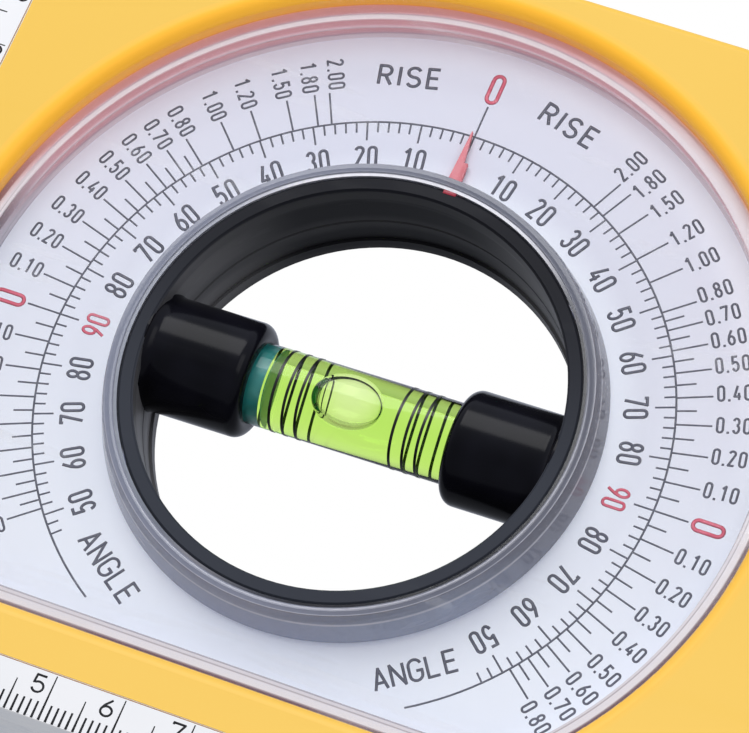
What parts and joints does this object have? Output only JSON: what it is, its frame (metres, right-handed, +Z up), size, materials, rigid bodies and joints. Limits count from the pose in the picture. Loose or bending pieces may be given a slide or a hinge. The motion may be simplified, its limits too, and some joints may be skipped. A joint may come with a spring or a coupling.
{
  "type": "magnetic inclinometer",
  "caption": "Flat angle finder: yellow case with one cut corner, metal ruler edges, and a dial window round an open ring that carries a spirit vial and a pointer.",
  "frame": {"origin": "middle of the width and the depth, on the plane of the base edge", "axes": "+X to the right seen from the front, +Y from the dial to the back, +Z up; the dial's axis is parallel to Y"},
  "size_m": [0.144, 0.0206, 0.1233],
  "materials": {
    "case_yellow": "moulded, satin gloss",
    "edge_metal": "milled and anodised",
    "magnet": "nickel plated",
    "ruler_white": "printed label",
    "cover_clear": "clear polished acrylic",
    "seal_grey": "soft",
    "dial_white": "printed plate",
    "bearing_white": "slide bearing plastic",
    "ring_black": "fine matt texture",
    "holder_black": "polished",
    "pointer_red": "translucent",
    "vial_clear": "clear polished acrylic",
    "vial_green": "tinted spirit",
    "plug_teal": "smooth",
    "marker_black": "painted ring",
    "screw_steel": "zinc plated"
  },
  "bodies": {
    "case": {"front_shell": "case_yellow", "rear_shell": "case_yellow", "base_channel": "edge_metal", "side_channel": "edge_metal", "base_magnets": "magnet", "side_magnets": "magnet", "base_ruler_label": "ruler_white", "side_ruler_label": "ruler_white", "clear_cover": "cover_clear", "cover_seal": "seal_grey", "dial_plate": "dial_white", "glide_ring": "bearing_white", "brake_ring": "seal_grey", "rear_bearing": "bearing_white", "case_screws": "screw_steel", "channel_screws": "screw_steel"},
    "rotor": {"rotor_front_ring": "ring_black", "rotor_rear_ring": "ring_black", "pointer": "pointer_red", "left_vial_holder": "holder_black", "right_vial_holder": "holder_black", "vial_tube": "vial_clear", "vial_fluid": "vial_green", "vial_plugs": "plug_teal", "vial_marker_rings": "marker_black"}
  },
  "joints": [
    {"name": "dial_spin", "type": "hinge", "parent": "case", "child": "rotor", "pos_m": [0, 0, 0.0588], "axis": [0, -1, 0], "continuous": true}
  ]
}
